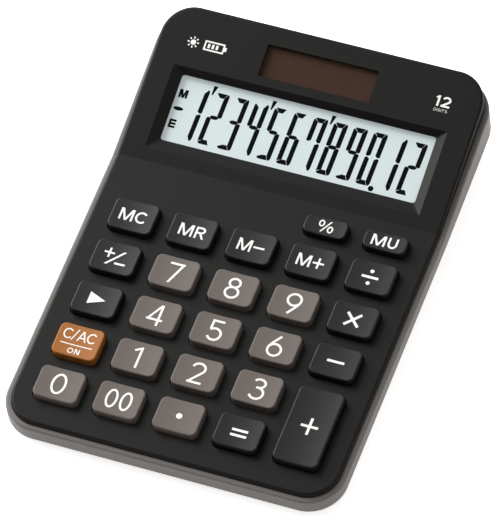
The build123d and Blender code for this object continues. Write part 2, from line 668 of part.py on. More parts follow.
with BuildPart() as battery_plus_contact:
    with BuildSketch(Plane.XY.offset(battery_top + CONTACT_FIT)):
        with Locations((battery_x + 3.6, battery_y)):
            Rectangle(11.0, CONTACT_W)
    extrude(amount=CONTACT_T)
    with BuildSketch(Plane.XY.offset(FLOOR_LEVEL + CONTACT_FIT)):
        with Locations((battery_x + CONTACT_TAB_X, battery_y)):
            Rectangle(CONTACT_T, CONTACT_W)
    extrude(amount=battery_top - FLOOR_LEVEL + CONTACT_T)
save(battery_plus_contact, "battery_plus_contact")

# leads run forward under the display holder and turn up to the board
board_under = BOARD_TOP - BOARD_T - WIRE_R - WIRE_FIT


def lead_end(x):
    return KEYBOARD.from_local_coords((x, BOARD_BACK_Y - 3.5, board_under))


def lead_turn(x):
    return KEYBOARD.from_local_coords((x, BOARD_BACK_Y + 3.5, board_under - 0.6))


with BuildPart() as battery_leads:
    add(
        wire(
            [
                Vector(battery_x - 9.7, battery_y, FLOOR_LEVEL + 3.2),
                Vector(battery_x - 9.9, battery_y - 8.0, FLOOR_LEVEL + 3.0),
                lead_turn(battery_x + WIRE_PITCH),
                lead_end(battery_x + WIRE_PITCH),
            ],
            1.6,
        )
    )
    add(
        wire(
            [
                Vector(battery_x + 9.7, battery_y, FLOOR_LEVEL + 3.2),
                Vector(battery_x + 9.9, battery_y - 8.0, FLOOR_LEVEL + 3.0),
                lead_turn(battery_x + 2 * WIRE_PITCH),
                lead_end(battery_x + 2 * WIRE_PITCH),
            ],
            1.6,
        )
    )
save(battery_leads, "battery_leads")

cell_back = -SOLAR_RECESS - SOLAR_PANE_T - SOLAR_CELL_T - WIRE_R - 0.05
with BuildPart() as solar_leads:
    for offset in (0, WIRE_PITCH):
        add(
            wire(
                [
                    DISPLAY.from_local_coords((-12 - offset, SOLAR_Y, cell_back)),
                    DISPLAY.from_local_coords((-14 - offset, SOLAR_Y - 3.5, cell_back - 0.5)),
                    DISPLAY.from_local_coords((-25 - offset, SOLAR_Y - 10, HOLDER_BACK - 3.5)),
                    lead_turn(-26 - offset),
                    lead_end(-25 - offset),
                ],
                1.3,
            )
        )
save(solar_leads, "solar_leads")

# ---- feet ----
with BuildPart() as rubber_feet:
    with BuildSketch():
        with Locations(*FEET):
            Circle(FOOT_R)
    extrude(amount=BASE_LEVEL + FOOT_RECESS)
    fillet(rubber_feet.edges().group_by(Axis.Z)[0], radius=0.35)
save(rubber_feet, "rubber_feet")
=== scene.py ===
# %% [markdown]
# # A desk calculator, dressed in Blender
# The solid parts come from the CAD model and are never changed here. This lesson gives each of them a
# finish with real-scale detail, and adds what is printed or moulded too thin to be worth a CAD solid:
# the white key legends, the segments of the liquid crystal display, the panel marks and the rubber domes.

# %% Load the CAD frame
import bmesh
import bpy
import json
from math import cos, pi, radians, sin
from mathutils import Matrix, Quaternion, Vector
from mathutils.bvhtree import BVHTree
from mathutils.geometry import delaunay_2d_cdt


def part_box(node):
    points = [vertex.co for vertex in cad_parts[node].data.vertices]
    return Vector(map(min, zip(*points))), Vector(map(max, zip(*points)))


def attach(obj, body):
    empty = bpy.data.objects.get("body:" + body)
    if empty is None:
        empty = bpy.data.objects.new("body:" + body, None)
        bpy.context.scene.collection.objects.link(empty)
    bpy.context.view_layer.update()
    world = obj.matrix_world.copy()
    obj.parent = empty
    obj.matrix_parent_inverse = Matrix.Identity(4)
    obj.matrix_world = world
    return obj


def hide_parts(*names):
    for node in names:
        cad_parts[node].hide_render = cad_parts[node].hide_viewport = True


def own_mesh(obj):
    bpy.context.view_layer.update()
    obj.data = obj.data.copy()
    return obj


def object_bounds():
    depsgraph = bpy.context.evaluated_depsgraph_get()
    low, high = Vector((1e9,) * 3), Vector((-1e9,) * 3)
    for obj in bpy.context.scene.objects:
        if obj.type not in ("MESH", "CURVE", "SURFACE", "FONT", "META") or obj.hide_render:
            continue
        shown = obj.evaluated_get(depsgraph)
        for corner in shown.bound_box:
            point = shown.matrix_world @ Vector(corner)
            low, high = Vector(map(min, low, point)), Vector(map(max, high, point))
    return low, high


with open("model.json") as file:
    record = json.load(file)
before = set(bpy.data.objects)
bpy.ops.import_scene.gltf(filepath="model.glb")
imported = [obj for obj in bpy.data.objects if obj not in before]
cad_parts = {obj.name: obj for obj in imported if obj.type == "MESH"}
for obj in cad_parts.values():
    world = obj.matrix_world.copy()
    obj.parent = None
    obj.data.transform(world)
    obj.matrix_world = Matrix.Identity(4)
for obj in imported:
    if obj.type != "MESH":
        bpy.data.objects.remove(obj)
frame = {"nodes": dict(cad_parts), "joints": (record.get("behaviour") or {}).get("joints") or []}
cad_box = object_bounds()
nodes = frame["nodes"]
MM = 0.001
print("CAD box in mm:", [round(value / MM, 2) for corner in cad_box for value in corner])

# %% [markdown]
# ## The two tilted faces
# The keyboard and the display lie on two planes that lean towards the reader. A flat drawing needs a
# middle, a direction to the right, a direction up the slope and a normal. The keyboard's normal is the
# way the keys come up, which the joints give. The display's is the way its glass faces. Reading both
# from the model keeps every printed mark in place when the model changes.


# %% Plane of the keys and plane of the display
class Face:
    """A tilted plane: right is world X, slope climbs towards the back, normal comes out of the case."""

    def __init__(self, normal):
        self.normal = normal.normalized()
        self.right = Vector((1, 0, 0))
        self.slope = self.normal.cross(self.right)

    def middle(self, node):
        """The middle of a CAD node, taken along the plane's own axes."""
        corners = [vertex.co for vertex in nodes[node].data.vertices]
        middle = Vector((0, 0, 0))
        for axis in (self.right, self.slope, self.normal):
            along = [corner.dot(axis) for corner in corners]
            middle += axis * (min(along) + max(along)) / 2
        return middle


def upward_normal(node):
    """The normal of the largest face of a node that looks up."""
    upward = [face for face in nodes[node].data.polygons if face.normal.z > 0.5]
    return max(upward, key=lambda face: face.area).normal.copy()


press = Vector(frame["joints"][0]["axis"])
keyboard = Face(-press)
display = Face(upward_normal("lcd_cell"))
print("keyboard normal:", [round(value, 4) for value in keyboard.normal])
print("display normal:", [round(value, 4) for value in display.normal])

# %% [markdown]
# ## Colours and nodes
# Screens store colours as sRGB, but light adds up in linear values, so every colour is written as the
# sRGB hex of a paint chart and turned to linear once. A material is a small graph. One helper adds a
# node with its settings and its links, which keeps each graph readable from top to bottom.


# %% Colour and node helpers
def linear(hex_colour):
    """An sRGB hex colour as the linear RGBA that a shader expects."""
    channels = [int(hex_colour[i : i + 2], 16) / 255 for i in (1, 3, 5)]
    bright = [((c + 0.055) / 1.055) ** 2.4 if c > 0.04045 else c / 12.92 for c in channels]
    return (*bright, 1.0)


def add(material, kind, inputs=None, **settings):
    """Adds one node. Settings are its properties; inputs are values or sockets, by name or number."""
    made = material.node_tree.nodes.new(kind)
    for name, value in settings.items():
        setattr(made, name, value)
    for name, value in (inputs or {}).items():
        if isinstance(value, bpy.types.NodeSocket):
            material.node_tree.links.new(value, made.inputs[name])
        else:
            made.inputs[name].default_value = value
    return made


def new_material(name):
    """An empty material whose output is ready to be linked."""
    material = bpy.data.materials.new(name)
    material.use_nodes = True
    material.node_tree.nodes.clear()
    return material


def show(material, surface):
    """Links a shader to the material's output."""
    add(material, "ShaderNodeOutputMaterial", {"Surface": surface})
    print("material:", material.name, len(material.node_tree.nodes), "nodes")
    return material


# %% [markdown]
# ## Moulded ABS
# The shell and the caps are ABS, shot into a steel mould whose cavity is spark-eroded. The plastic
# copies those craters as a fine satin grain, so highlights spread instead of mirroring. Three things
# make it read as plastic: the grain as a bump, a slow mottle in the colour from the pigment, and skin
# oil that leaves smoother patches. The Bevel node finds the edges, which fingers polish first, so there
# the colour is a little lighter. A texture map would need unwrapping; noise in object space does not.


# %% A satin moulded plastic
# Rubbed edges lose their grain, so they keep only this share of the roughness.
RUBBED = 0.55


def moulded_abs(name, colour, worn, roughness, grain, depth, gloss=0.35, edge=0.35):
    """Grain is the crater spacing and depth the crater depth, both in mm; edge is the worn width in mm."""
    material = new_material(name)
    place = add(material, "ShaderNodeTexCoord").outputs["Object"]
    craters = add(
        material,
        "ShaderNodeTexNoise",
        {"Vector": place, "Scale": 1 / (grain * MM), "Detail": 2.0, "Roughness": 0.6},
    )
    mottle = add(
        material,
        "ShaderNodeTexNoise",
        {"Vector": place, "Scale": 1 / (9 * MM), "Detail": 3.0, "Roughness": 0.55},
    )
    smears = add(
        material,
        "ShaderNodeTexNoise",
        {"Vector": place, "Scale": 1 / (4 * MM), "Detail": 2.0, "Distortion": 0.8},
    )
    rounded = add(material, "ShaderNodeBevel", {"Radius": edge * MM}, samples=6)
    true = add(material, "ShaderNodeNewGeometry")
    match = add(
        material,
        "ShaderNodeVectorMath",
        {0: rounded.outputs["Normal"], 1: true.outputs["Normal"]},
        operation="DOT_PRODUCT",
    )
    wear = add(
        material,
        "ShaderNodeMapRange",
        {"Value": match.outputs["Value"], "From Min": 0.99, "From Max": 0.8, "To Max": 0.8},
    )
    pale = [min(1.0, channel * 1.05) for channel in linear(colour)[:3]] + [1.0]
    pigment = add(
        material,
        "ShaderNodeMix",
        {"Factor": mottle.outputs["Fac"], 6: linear(colour), 7: pale},
        data_type="RGBA",
    )
    paint = add(
        material,
        "ShaderNodeMix",
        {"Factor": wear.outputs["Result"], 6: pigment.outputs[2], 7: linear(worn)},
        data_type="RGBA",
    )
    polish = add(
        material,
        "ShaderNodeMapRange",
        {
            "Value": smears.outputs["Fac"],
            "From Min": 0.3,
            "From Max": 0.7,
            "To Min": roughness - 0.02,
            "To Max": roughness + 0.02,
        },
    )
    sheen = add(
        material,
        "ShaderNodeMix",
        {0: wear.outputs["Result"], 2: polish.outputs["Result"], 3: roughness * RUBBED},
        data_type="FLOAT",
    )
    bump = add(
        material,
        "ShaderNodeBump",
        {"Height": craters.outputs["Fac"], "Strength": 0.6, "Distance": depth * MM},
    )
    plastic = add(
        material,
        "ShaderNodeBsdfPrincipled",
        {
            "Base Color": paint.outputs[2],
            "Roughness": sheen.outputs[0],
            "Normal": bump.outputs["Normal"],
            "IOR": 1.53,
            "Specular IOR Level": gloss,
        },
    )
    return show(material, plastic.outputs["BSDF"])


# Real spark-eroded grain is about 0.1 mm from crater to crater, too fine to show, so it is drawn at
# 0.45 mm on the shells and 0.4 mm on the smaller caps.
black_shell = moulded_abs("black_moulded_abs", "#1a1918", "#242322", 0.45, 0.45, 0.03, 0.11)
taupe_shell = moulded_abs("grey_moulded_abs", "#6e6966", "#918d8a", 0.5, 0.45, 0.03, 0.25)
black_cap = moulded_abs("black_cap_abs", "#1d1d1d", "#4a4a49", 0.4, 0.4, 0.02, 0.22, 0.22)
taupe_cap = moulded_abs("taupe_cap_abs", "#68605b", "#938b84", 0.46, 0.4, 0.025, 0.2)
orange_cap = moulded_abs("orange_cap_abs", "#a2652d", "#c98c52", 0.46, 0.4, 0.025, 0.2)
white_abs = moulded_abs("white_holder_abs", "#dcd9d0", "#efece4", 0.45, 0.45, 0.02)

# %% [markdown]
# ## Clear acrylic
# The display cover is a pane of clear acrylic (PMMA). Full refraction would stop lamp light from
# reaching the glass behind it without costly light paths, so the pane is a mix: it lets light straight
# through, and takes out the share that its surface mirrors. Bare acrylic (IOR 1.49) mirrors 4% face on.
# The share here is only 0.1%, rising at a glancing angle. That is lower than real acrylic and was chosen
# because at 4% the mirrored room turned the black segments grey. Fine wipe marks make the mirror
# slightly uneven. The solar pane is the same acrylic with a smoke dye.

# %% Clear and smoked panes
FACE_ON_SHARE = 0.001


def acrylic(name, tint, roughness, wipe):
    """Tint is what white light keeps in one pass; wipe is the spacing of the wipe marks in mm."""
    material = new_material(name)
    place = add(material, "ShaderNodeTexCoord").outputs["Object"]
    stretched = add(material, "ShaderNodeMapping", {"Vector": place, "Scale": (1.0, 0.12, 0.12)})
    marks = add(
        material,
        "ShaderNodeTexNoise",
        {"Vector": stretched.outputs["Vector"], "Scale": 1 / (wipe * MM), "Detail": 3.0},
    )
    uneven = add(
        material,
        "ShaderNodeMapRange",
        {"Value": marks.outputs["Fac"], "To Min": roughness * 0.9, "To Max": roughness * 1.1},
    )
    bump = add(
        material,
        "ShaderNodeBump",
        {"Height": marks.outputs["Fac"], "Strength": 0.05, "Distance": 0.002 * MM},
    )
    facing = add(
        material, "ShaderNodeLayerWeight", {"Blend": 0.5, "Normal": bump.outputs["Normal"]}
    )
    steep = add(
        material, "ShaderNodeMath", {0: facing.outputs["Facing"], 1: 5.0}, operation="POWER"
    )
    share = add(
        material,
        "ShaderNodeMapRange",
        {"Value": steep.outputs[0], "To Min": FACE_ON_SHARE, "To Max": 1.0},
    )
    through = add(material, "ShaderNodeBsdfTransparent", {"Color": linear(tint)})
    mirror = add(
        material,
        "ShaderNodeBsdfGlossy",
        {"Roughness": uneven.outputs["Result"], "Normal": bump.outputs["Normal"]},
    )
    pane = add(
        material,
        "ShaderNodeMixShader",
        {0: share.outputs["Result"], 1: through.outputs["BSDF"], 2: mirror.outputs["BSDF"]},
    )
    return show(material, pane.outputs["Shader"])


clear_pane = acrylic("clear_acrylic", "#fbfcfb", 0.12, 1.2)
smoked_pane = acrylic("smoked_acrylic", "#dbd6d3", 0.3, 3.0)

# %% [markdown]
# ## The liquid crystal cell and the solar cell
# Behind the cover is a reflective twisted nematic cell: two sheets of glass over a brushed foil that
# throws room light back, which gives the pale grey-green field with a faint sparkle. The solar cell is
# amorphous silicon on glass, a dark maroon film cut by laser into strips wired in series. The cuts are
# about 0.1 mm wide and are drawn at 0.35 mm so that they show. The film's hex values are paler than the
# real film, because they were matched as seen through the smoked pane.


# %% Cell glass, segment ink and solar film
# The field glows in its own colour. This glow is painted light that fills the bezel's shade on the
# field's edge, so it stays bright right up to the bezel. It is not faint: it gives about two fifths of
# the field's brightness in this light, and a real cell gives off none, so in a dark room it has to be 0.
PAINTED_CELL_GLOW = 0.56


def reflective_cell(name):
    material = new_material(name)
    place = add(material, "ShaderNodeTexCoord").outputs["Object"]
    foil = add(
        material, "ShaderNodeTexNoise", {"Vector": place, "Scale": 1 / (0.5 * MM), "Detail": 2.0}
    )
    cloud = add(
        material, "ShaderNodeTexNoise", {"Vector": place, "Scale": 1 / (18 * MM), "Detail": 1.0}
    )
    sparkle = add(
        material,
        "ShaderNodeMix",
        {"Factor": foil.outputs["Fac"], 6: linear("#b8bfc2"), 7: linear("#c0c8ca")},
        data_type="RGBA",
    )
    field = add(
        material,
        "ShaderNodeMix",
        {"Factor": cloud.outputs["Fac"], 6: sparkle.outputs[2], 7: linear("#bac3c5")},
        data_type="RGBA",
    )
    sheen = add(
        material,
        "ShaderNodeMapRange",
        {"Value": foil.outputs["Fac"], "To Min": 0.35, "To Max": 0.5},
    )
    bump = add(
        material,
        "ShaderNodeBump",
        {"Height": foil.outputs["Fac"], "Strength": 0.15, "Distance": 0.005 * MM},
    )
    glass = add(
        material,
        "ShaderNodeBsdfPrincipled",
        {
            "Base Color": field.outputs[2],
            "Roughness": sheen.outputs["Result"],
            "Normal": bump.outputs["Normal"],
            "IOR": 1.5,
            "Specular IOR Level": 0.3,
            # painted light: the field glows in its own colour and fills the bezel's shade on its edge
            "Emission Color": field.outputs[2],
            "Emission Strength": PAINTED_CELL_GLOW,
        },
    )
    return show(material, glass.outputs["BSDF"])


def segment_ink(name):
    """A switched-on segment turns light across the rear polariser, which leaves a blue-black."""
    material = new_material(name)
    place = add(material, "ShaderNodeTexCoord").outputs["Object"]
    grain = add(
        material, "ShaderNodeTexNoise", {"Vector": place, "Scale": 1 / (0.6 * MM), "Detail": 1.0}
    )
    tone = add(
        material,
        "ShaderNodeMix",
        {"Factor": grain.outputs["Fac"], 6: linear("#020405"), 7: linear("#05080a")},
        data_type="RGBA",
    )
    sheen = add(
        material,
        "ShaderNodeMapRange",
        {"Value": grain.outputs["Fac"], "To Min": 0.5, "To Max": 0.65},
    )
    ink = add(
        material,
        "ShaderNodeBsdfPrincipled",
        {
            "Base Color": tone.outputs[2],
            "Roughness": sheen.outputs["Result"],
            "IOR": 1.5,
            "Specular IOR Level": 0.05,
        },
    )
    return show(material, ink.outputs["BSDF"])


def amorphous_silicon(name, strips, width):
    """Strips side by side across the width of the cell, given in mm."""
    material = new_material(name)
    place = add(material, "ShaderNodeTexCoord").outputs["Object"]
    axes = add(material, "ShaderNodeSeparateXYZ", {"Vector": place})
    pitch = width / strips * MM
    turns = add(
        material, "ShaderNodeMath", {0: axes.outputs["X"], 1: pitch}, operation="DIVIDE"
    )
    phase = add(material, "ShaderNodeMath", {0: turns.outputs[0]}, operation="FRACT")
    offset = add(
        material, "ShaderNodeMath", {0: phase.outputs[0], 1: 0.5}, operation="SUBTRACT"
    )
    away = add(material, "ShaderNodeMath", {0: offset.outputs[0]}, operation="ABSOLUTE")
    cut = add(
        material,
        "ShaderNodeMapRange",
        {
            "Value": away.outputs[0],
            "From Min": 0.5 - 0.35 * MM / pitch,
            "From Max": 0.5,
            "To Max": 0.5,
        },
    )
    cloud = add(
        material, "ShaderNodeTexNoise", {"Vector": place, "Scale": 1 / (6 * MM), "Detail": 2.0}
    )
    maroon = add(
        material,
        "ShaderNodeMix",
        {"Factor": cloud.outputs["Fac"], 6: linear("#7e685c"), 7: linear("#846e62")},
        data_type="RGBA",
    )
    film_tone = add(
        material,
        "ShaderNodeMix",
        {"Factor": cut.outputs["Result"], 6: maroon.outputs[2], 7: linear("#745f54")},
        data_type="RGBA",
    )
    sheen = add(
        material,
        "ShaderNodeMapRange",
        {"Value": cloud.outputs["Fac"], "To Min": 0.35, "To Max": 0.5},
    )
    silicon = add(
        material,
        "ShaderNodeBsdfPrincipled",
        {
            "Base Color": film_tone.outputs[2],
            "Roughness": sheen.outputs["Result"],
            "IOR": 1.5,
            "Specular IOR Level": 0.3,
        },
    )
    return show(material, silicon.outputs["BSDF"])


lcd_glass = reflective_cell("reflective_lcd_glass")
lcd_segment = segment_ink("lcd_segment_black")
solar_low, solar_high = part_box("solar_cell")
SOLAR_STRIPS = 4
solar_film = amorphous_silicon(
    "amorphous_silicon", SOLAR_STRIPS, (solar_high.x - solar_low.x) / MM
)

# %% [markdown]
# ## What is inside and underneath
# The rest is seen only when the case is opened or turned over, but each piece is still what it is: zinc
# plated steel, green solder mask over woven glass, silicone rubber, enamelled wire. They share one
# recipe, a base colour broken up by noise of that material's own grain, with its own roughness range.
# Metals keep the default IOR and are fully metallic, so their colour comes from what they reflect.


# %% One recipe for the small materials
def small_part(name, dark, light, grain, rough, metallic=0.0, depth=0.01, ior=1.5):
    """Grain is the pattern's spacing in mm; rough is the lowest and highest roughness."""
    material = new_material(name)
    place = add(material, "ShaderNodeTexCoord").outputs["Object"]
    pattern = add(
        material,
        "ShaderNodeTexNoise",
        {"Vector": place, "Scale": 1 / (grain * MM), "Detail": 4.0, "Roughness": 0.6},
    )
    tone = add(
        material,
        "ShaderNodeMix",
        {"Factor": pattern.outputs["Fac"], 6: linear(dark), 7: linear(light)},
        data_type="RGBA",
    )
    sheen = add(
        material,
        "ShaderNodeMapRange",
        {"Value": pattern.outputs["Fac"], "To Min": rough[0], "To Max": rough[1]},
    )
    bump = add(
        material,
        "ShaderNodeBump",
        {"Height": pattern.outputs["Fac"], "Strength": 0.5, "Distance": depth * MM},
    )
    surface = add(
        material,
        "ShaderNodeBsdfPrincipled",
        {
            "Base Color": tone.outputs[2],
            "Roughness": sheen.outputs["Result"],
            "Normal": bump.outputs["Normal"],
            "Metallic": metallic,
            "IOR": ior,
        },
    )
    return show(material, surface.outputs["BSDF"])


SMALL_PARTS = {
    "polyimide": small_part("polyimide_film", "#8a4a12", "#b4701f", 1.5, (0.25, 0.4), ior=1.7),
    "silicone": small_part("silicone_rubber", "#8f9190", "#a3a5a3", 0.5, (0.55, 0.7), ior=1.41),
    "circuit_board": small_part("solder_mask", "#12482a", "#1f6038", 0.8, (0.3, 0.45)),
    "black_epoxy": small_part("black_epoxy", "#0b0b0c", "#17171a", 0.6, (0.12, 0.3), ior=1.55),
    "capacitor_sleeve": small_part("pvc_sleeve", "#10182b", "#1b2642", 0.6, (0.25, 0.4)),
    "zinc_screw": small_part("zinc_plated_steel", "#a9abad", "#c9cacb", 0.25, (0.22, 0.42), 1.0),
    "cell_can": small_part("nickel_plated_can", "#b7b5af", "#d2d0ca", 0.4, (0.15, 0.3), 1.0),
    "plated_spring": small_part("nickel_plated_spring", "#b9b29f", "#d3ccb8", 0.3, (0.2, 0.35), 1.0),
    "wire_insulation": small_part("pvc_insulation", "#8c1b17", "#ab2a22", 0.7, (0.35, 0.5)),
    "foot_rubber": small_part("foot_rubber", "#141414", "#232323", 0.35, (0.7, 0.85), ior=1.52),
}

# %% Give every CAD node the finish of its slot
FINISHES = {
    "front_shell": black_shell,
    "rear_shell": taupe_shell,
    "key_black": black_cap,
    "key_taupe": taupe_cap,
    "key_orange": orange_cap,
    "clear_lens": clear_pane,
    "lcd_glass": lcd_glass,
    "white_abs": white_abs,
    "smoked_acrylic": smoked_pane,
    "amorphous_cell": solar_film,
    **SMALL_PARTS,
}
for part in nodes.values():
    for held in part.material_slots:
        held.material = FINISHES[held.material.name]
print("finished CAD nodes:", len(nodes))

# %% [markdown]
# ## Drawing a printed mark
# Legends are pad-printed ink about 0.02 mm thick. A texture would be simpler, but it needs a sharp map,
# and the ink's edge would not stand proud. Here each mark is drawn with a pen: a stroke becomes a row
# of flat quads, and a constrained Delaunay triangulation joins all the quads of a mark into one shape
# with no overlaps. Dropping that shape on to the CAD surface by ray casting makes the ink follow the
# hollow of the key.


# %% Pen strokes as flat patches, in mm
STEP_ANGLE = radians(12)
LINE_STEP = 1.2


def disc(x, y, radius):
    """A filled spot."""
    turns = int(2 * pi / STEP_ANGLE)
    spots = [2 * pi * i / turns for i in range(turns)]
    return [[(x + radius * cos(a), y + radius * sin(a)) for a in spots]]


def arc(x, y, radius_x, radius_y, start, end):
    """Points along part of an ellipse, from one angle in degrees to another."""
    count = max(2, round(abs(radians(end - start)) / STEP_ANGLE))
    angles = [radians(start + (end - start) * i / count) for i in range(count + 1)]
    return [(x + radius_x * cos(a), y + radius_y * sin(a)) for a in angles]


def stroke(points, pen):
    """A pen line through the points, with square ends and mitred corners."""
    line = [Vector(point) for point in points]
    closed = (line[0] - line[-1]).length < 1e-6
    if closed:
        line.pop()
    count = len(line)
    edges = []
    for i, point in enumerate(line):
        before = line[i - 1] if closed or i else point
        after = line[(i + 1) % count] if closed or i < count - 1 else point
        into = (point - before) if before != point else (after - point)
        out = (after - point) if after != point else into
        into, out = into.normalized(), out.normalized()
        side = Vector((-into.y - out.y, into.x + out.x)).normalized()
        reach = pen / 2 / max(0.4, side.dot(Vector((-into.y, into.x))))
        edges.append((point + side * reach, point - side * reach))
    if closed:
        edges.append(edges[0])
    return [[a[0], a[1], b[1], b[0]] for a, b in zip(edges, edges[1:])]


def bar(x0, y0, x1, y1, pen):
    """A straight stroke, cut into short lengths so that it can follow a hollow."""
    start, end = Vector((x0, y0)), Vector((x1, y1))
    pieces = max(1, round((end - start).length / LINE_STEP))
    return stroke([start.lerp(end, i / pieces) for i in range(pieces + 1)], pen)


def slant(x0, y0, x1, y1, pen):
    """A slanting stroke whose two ends are cut level."""
    start, end = Vector((x0, y0)), Vector((x1, y1))
    half = Vector((pen / 2 * (end - start).length / abs(y1 - y0), 0))
    pieces = max(1, round((end - start).length / LINE_STEP))
    line = [start.lerp(end, i / pieces) for i in range(pieces + 1)]
    return [[a - half, a + half, b + half, b - half] for a, b in zip(line, line[1:])]


# %% [markdown]
# ## Letters
# The lettering is a plain geometric sans: straight strokes and parts of circles, all one pen wide. A
# letter is drawn in a box, and the pen is kept inside the box so that its ink ends at the outline.


# %% Letters in a box
def letter(name, x0, y0, x1, y1, pen):
    """One capital whose ink fills the box from (x0, y0) to (x1, y1)."""
    half = pen / 2
    left, right, low, high = x0 + half, x1 - half, y0 + half, y1 - half
    mid_x, mid_y = (x0 + x1) / 2, (y0 + y1) / 2
    wide, tall = (right - left) / 2, (high - low) / 2
    post = bar(left, y0, left, y1, pen)
    if name == "M":
        lean = pen * 0.35
        legs = slant(left + lean, y1, mid_x, y0, pen) + slant(right - lean, y1, mid_x, y0, pen)
        return post + bar(right, y0, right, y1, pen) + legs
    if name == "N":
        lean = pen * 0.4
        return post + bar(right, y0, right, y1, pen) + slant(left + lean, y1, right - lean, y0, pen)
    if name == "A":
        legs = slant(left, y0, mid_x, y1, pen) + slant(right, y0, mid_x, y1, pen)
        cross_y = low + tall * 0.6
        return legs + bar(left + wide * 0.45, cross_y, right - wide * 0.45, cross_y, pen)
    if name == "O":
        return stroke(arc(mid_x, mid_y, wide, tall, 0, 360), pen)
    if name == "C":
        return stroke(arc(left + wide * 1.12, mid_y, wide * 1.12, tall, 42, 318), pen)
    if name == "G":
        bowl = stroke(arc(mid_x, mid_y, wide, tall, 42, 360), pen)
        return bowl + bar(mid_x, mid_y, x1, mid_y, pen)
    if name == "U":
        bowl = [(left, y1), *arc(mid_x, low + wide, wide, wide, 180, 360), (right, y1)]
        return stroke(bowl, pen)
    if name == "R":
        belly = tall * 0.5
        flat = right - belly * 1.15
        waist = high - 2 * belly
        bowl = [(left, high), *arc(flat, high - belly, belly * 1.15, belly, 90, -90), (left, waist)]
        return post + stroke(bowl, pen) + slant(mid_x, waist, right + half * 0.2, y0, pen)
    if name == "D":
        bowl = [(left, high), *arc(mid_x, mid_y, wide, tall, 90, -90), (left, low)]
        return post + stroke(bowl, pen)
    if name == "E":
        rungs = [bar(left, y, x1, y, pen) for y in (low, mid_y, high)]
        return post + rungs[0] + rungs[1] + rungs[2]
    if name == "T":
        return bar(mid_x, y0, mid_x, y1, pen) + bar(x0, high, x1, high, pen)
    if name == "I":
        return bar(mid_x, y0, mid_x, y1, pen)
    if name == "S":
        upper = arc(mid_x, high - tall / 2, wide, tall / 2, 30, 270)
        lower = arc(mid_x, low + tall / 2, wide, tall / 2, 90, -150)
        return stroke(upper[:-1] + lower, pen)
    raise ValueError(f"no letter {name}")


# %% [markdown]
# ## Figures and signs
# The figures are 7.2 mm tall with a 0.7 mm pen, and the arithmetic signs use a heavier 0.8 mm pen. Each
# is drawn from the middle of its key. The six is a ring with a tail, and the nine is the same half a
# turn round.

# %% Figures for the number keys
PEN = 0.72
SIGN_PEN = 0.82
LETTER_PEN = 0.62
LETTER_LOW, LETTER_HIGH = -2.1, 1.95


def curve_through(start, pull_a, pull_b, end, count=10):
    """Points on a cubic Bezier curve."""
    points = []
    for i in range(count + 1):
        t = i / count
        weights = ((1 - t) ** 3, 3 * t * (1 - t) ** 2, 3 * t * t * (1 - t), t**3)
        corners = (start, pull_a, pull_b, end)
        points.append(sum((w * Vector(c) for w, c in zip(weights, corners)), Vector((0, 0))))
    return points


def six():
    ring = stroke(arc(0.03, -1.32, 2.07, 1.98, 0, 360), PEN)
    tail = stroke(curve_through((-2.04, -1.32), (-2.04, -0.2), (-1.15, 1.0), (0.85, 3.6)), PEN)
    return ring + tail


def half_turn(patches):
    return [[(-point[0], -point[1]) for point in patch] for patch in patches]


FIGURES = {
    "0": stroke(arc(-0.2, 0.05, 1.98, 3.22, 0, 360), PEN),
    "00": stroke(arc(-2.3, 0.0, 1.5, 2.9, 0, 360), 0.68)
    + stroke(arc(2.18, 0.0, 1.5, 2.9, 0, 360), 0.68),
    "1": bar(0.45, -3.6, 0.45, 3.6, PEN) + bar(-1.6, 2.1, 0.5, 3.3, PEN * 0.9),
    "2": stroke([*arc(0.0, 1.55, 1.95, 1.75, 168, -32), (-1.75, -3.2)], PEN)
    + bar(-2.25, -3.25, 2.25, -3.25, PEN),
    "3": stroke([*arc(0.1, 1.87, 1.8, 1.42, 152, -90), (-0.55, 0.45)], PEN)
    + stroke([(-0.3, 0.45), *arc(0.1, -1.45, 2.12, 1.9, 90, -155)], PEN),
    "4": bar(1.2, -3.6, 1.2, 3.6, PEN)
    + bar(-2.55, -1.6, 2.5, -1.6, PEN)
    + slant(-2.1, -1.75, 1.05, 3.6, PEN * 0.9),
    "5": bar(-1.85, 3.2, 1.9, 3.2, PEN)
    + bar(-1.45, 3.3, -1.58, 0.25, PEN)
    + stroke(arc(-0.05, -1.3, 2.03, 1.98, 139, -152), PEN),
    "6": six(),
    "7": bar(-2.2, 3.1, 2.45, 3.1, PEN) + slant(-0.85, -3.6, 1.98, 3.2, PEN),
    "8": stroke(arc(-0.14, 1.73, 1.65, 1.47, 0, 360), PEN)
    + stroke(arc(-0.14, -1.55, 2.02, 1.81, 0, 360), PEN),
    "9": half_turn(six()),
    "point": disc(0.1, 0.05, 0.95),
}
print("figures:", len(FIGURES))


# %% Signs and words for the function keys
def memory(second, low=LETTER_LOW, high=LETTER_HIGH, shift=0.0):
    """The M that starts each memory legend, with what follows it."""
    return letter("M", -4.3 + shift, low, shift, high, LETTER_PEN) + second


